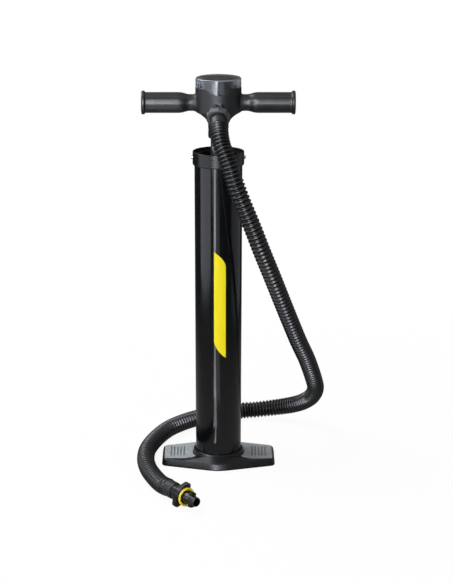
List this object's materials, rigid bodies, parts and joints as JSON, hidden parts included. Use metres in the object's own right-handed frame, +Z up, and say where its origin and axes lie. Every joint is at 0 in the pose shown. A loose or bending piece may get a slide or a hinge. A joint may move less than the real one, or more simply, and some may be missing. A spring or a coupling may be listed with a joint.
{
  "type": "double action hand pump",
  "caption": "Upright hand pump with a foot base, a long barrel, a T handle on a hollow rod, a pressure gauge in the handle's hub and a corrugated hose with a bayonet nozzle.",
  "frame": {"origin": "on the floor, under the middle of the foot base and the barrel's axis", "axes": "+Z up along the barrel, +X along the handle to the right as seen from the front, -Y to the front, where the hose leaves the hub"},
  "size_m": [0.2936, 0.4267, 0.5947],
  "materials": {
    "black_shell": "satin black polypropylene",
    "gloss_barrel": "gloss black moulded tube",
    "grip_black": "satin black grips",
    "pad_grey": "ribbed grey foot pads",
    "rod_alloy": "drawn satin tube",
    "steel": "bright screws and pins",
    "brass": "gauge coil and stem",
    "seal_black": "seals and buffers",
    "valve_red": "valve discs",
    "natural": "natural white bush and air tube",
    "inner_grey": "inner mouldings",
    "nut_grey": "grey hose nut",
    "hose_black": "corrugated soft hose",
    "gasket_yellow": "yellow sealing ring",
    "clear": "clear polycarbonate cover",
    "dial": "dark dial plate",
    "needle_white": "painted needle"
  },
  "bodies": {
    "stand": {"base_foot": "black_shell", "foot_pad_left": "pad_grey", "foot_pad_right": "pad_grey", "base_screws": "steel", "barrel_tube": "gloss_barrel", "barrel_plug": "inner_grey", "plug_ring": "seal_black", "lower_buffer": "seal_black", "upper_buffer": "seal_black", "barrel_cap": "black_shell", "cap_gasket": "seal_black", "cap_screws": "steel", "rod_bush": "natural"},
    "hose": {"rod_wiper": "seal_black", "hose_tube": "hose_black", "hose_cuff_lower": "black_shell"},
    "handle": {"rod_tube": "rod_alloy", "air_tube": "natural", "rod_pins": "steel", "piston_body": "inner_grey", "piston_ring": "seal_black", "piston_nut": "steel", "handle_hub": "black_shell", "grip_core_left": "inner_grey", "grip_core_right": "inner_grey", "grip_left": "grip_black", "grip_right": "grip_black", "grip_plugs": "black_shell", "valve_block": "inner_grey", "gauge_case": "black_shell", "gauge_stem": "brass", "gauge_spiral": "brass", "gauge_dial": "dial", "gauge_lens": "clear", "hose_cuff_upper": "black_shell"},
    "needle": {"gauge_needle": "needle_white"},
    "nut": {"hose_nut": "nut_grey"},
    "down_valves": {"valves_down": "valve_red"},
    "up_valves": {"valves_up": "valve_red"},
    "nozzle": {"nozzle_body": "black_shell", "nozzle_gasket": "gasket_yellow", "nozzle_tip": "black_shell"}
  },
  "joints": [
    {"name": "handle_turn", "type": "hinge", "parent": "stand", "child": "hose", "pos_m": [0, 0, 0.47], "axis": [0, 0, 1], "continuous": true},
    {"name": "handle_slide", "type": "slide", "parent": "hose", "child": "handle", "axis": [0, 0, 1], "range_m": [0, 0.408]},
    {"name": "needle_turn", "type": "hinge", "parent": "handle", "child": "needle", "pos_m": [0, 0, 0.59], "axis": [0, 0, -1], "range_deg": [0, 270]},
    {"name": "nut_turn", "type": "hinge", "parent": "handle", "child": "nut", "pos_m": [0, -0.036, 0.5385], "axis": [0, -0.8192, -0.5736], "range_deg": [0, 90]},
    {"name": "down_valves_lift", "type": "slide", "parent": "handle", "child": "down_valves", "axis": [0, 0, 1], "range_m": [0, 0.003]},
    {"name": "up_valves_lift", "type": "slide", "parent": "handle", "child": "up_valves", "axis": [0, 0, 1], "range_m": [0, 0.003]},
    {"name": "nozzle_twist", "type": "hinge", "parent": "hose", "child": "nozzle", "pos_m": [-0.072, -0.168, 0.0172], "axis": [0.5878, -0.809, 0], "range_deg": [-90, 0]}
  ]
}
